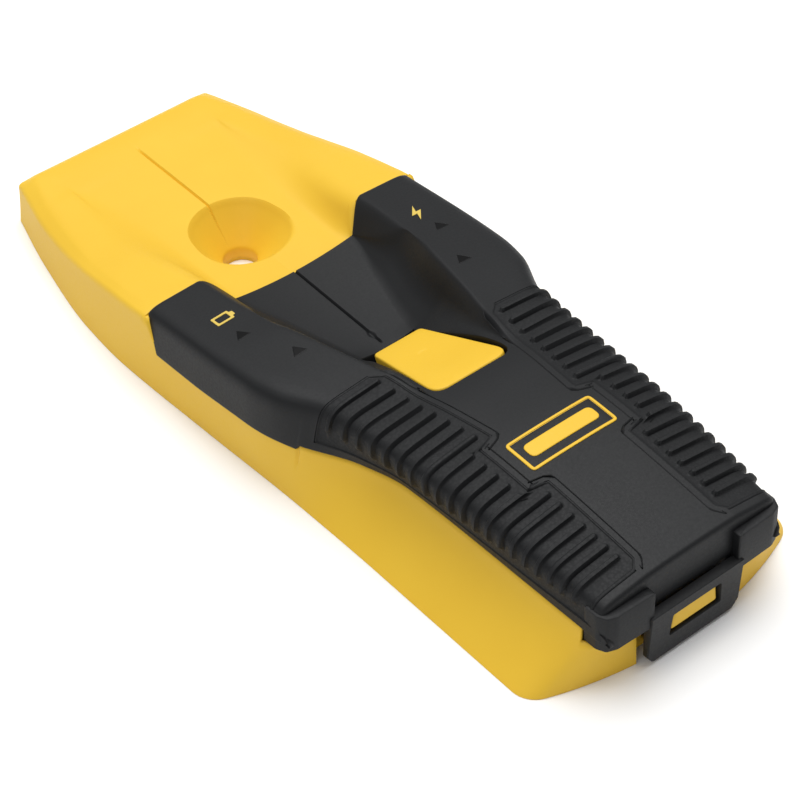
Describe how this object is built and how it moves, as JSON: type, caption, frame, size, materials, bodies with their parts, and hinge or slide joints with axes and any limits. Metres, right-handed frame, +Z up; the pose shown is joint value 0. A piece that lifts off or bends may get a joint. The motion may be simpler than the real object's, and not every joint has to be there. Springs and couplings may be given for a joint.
{
  "type": "stud finder",
  "caption": "Handheld stud finder with a wedge nose, a marking hole, a ribbed grip waist, a sprung power button and a hinged battery door.",
  "frame": {"origin": "centre of the footprint on the surface the sole rests on", "axes": "+Z up out of the sole, +Y towards the nose, +X to the right seen from the tail"},
  "size_m": [0.0646, 0.1668, 0.0238],
  "materials": {
    "yellow_abs": "moulded, fine satin",
    "black_abs": "moulded, fine spark texture",
    "grip_rubber": "ribbed, matt",
    "dark_lens": "polished",
    "printed_symbol": "printed",
    "steel": "plated",
    "battery_case": "printed steel can",
    "board_laminate": "solder mask",
    "copper_plate": "bare copper",
    "component_resin": "moulded",
    "clear_lamp": "clear resin",
    "red_insulation": "extruded",
    "black_insulation": "extruded"
  },
  "bodies": {
    "root": {"top_cover": "black_abs", "left_grip_pad": "grip_rubber", "right_grip_pad": "grip_rubber", "left_front_lens": "dark_lens", "left_rear_lens": "dark_lens", "right_front_lens": "dark_lens", "right_rear_lens": "dark_lens", "badge_plate": "yellow_abs", "battery_icon": "printed_symbol", "live_wire_icon": "printed_symbol", "main_housing": "yellow_abs", "sole_plate": "yellow_abs", "case_screw_1": "steel", "case_screw_2": "steel", "case_screw_3": "steel", "case_screw_4": "steel", "hinge_pin": "steel", "battery_can": "battery_case", "battery_negative_stud": "steel", "battery_positive_stud": "steel", "battery_connector": "component_resin", "red_lead": "red_insulation", "black_lead": "black_insulation", "circuit_board": "board_laminate", "centre_sensor_plate": "copper_plate", "left_sensor_plate": "copper_plate", "right_sensor_plate": "copper_plate", "controller_chip": "component_resin", "amplifier_chip": "component_resin", "timing_crystal": "steel", "buzzer": "component_resin", "storage_capacitor": "component_resin", "left_front_lamp": "clear_lamp", "left_rear_lamp": "clear_lamp", "right_front_lamp": "clear_lamp", "right_rear_lamp": "clear_lamp", "battery_lamp": "clear_lamp", "live_wire_lamp": "clear_lamp", "switch_body": "component_resin", "button_spring": "steel"},
    "button": {"power_button": "yellow_abs"},
    "plunger": {"switch_plunger": "component_resin"},
    "door": {"battery_door": "yellow_abs"},
    "latch": {"latch_tab": "yellow_abs"}
  },
  "joints": [
    {"name": "button_press", "type": "slide", "parent": "root", "child": "button", "axis": [0, -0.332, -0.9433], "range_m": [0, 0.001], "stiffness_N_per_m": 600, "deforming": ["button_spring"]},
    {"name": "plunger_press", "type": "slide", "parent": "root", "child": "plunger", "axis": [0, 0, -1], "range_m": [0, 0.00025]},
    {"name": "door_swing", "type": "hinge", "parent": "root", "child": "door", "pos_m": [0, -0.0236, 0.0013], "axis": [1, 0, 0], "range_deg": [0, 90]},
    {"name": "latch_press", "type": "slide", "parent": "door", "child": "latch", "axis": [0, 1, 0], "range_m": [0, 0.0012], "stiffness_N_per_m": 900}
  ],
  "couplings": [
    {"joint": "plunger_press", "follows": "button_press", "ratio": 0.25}
  ]
}
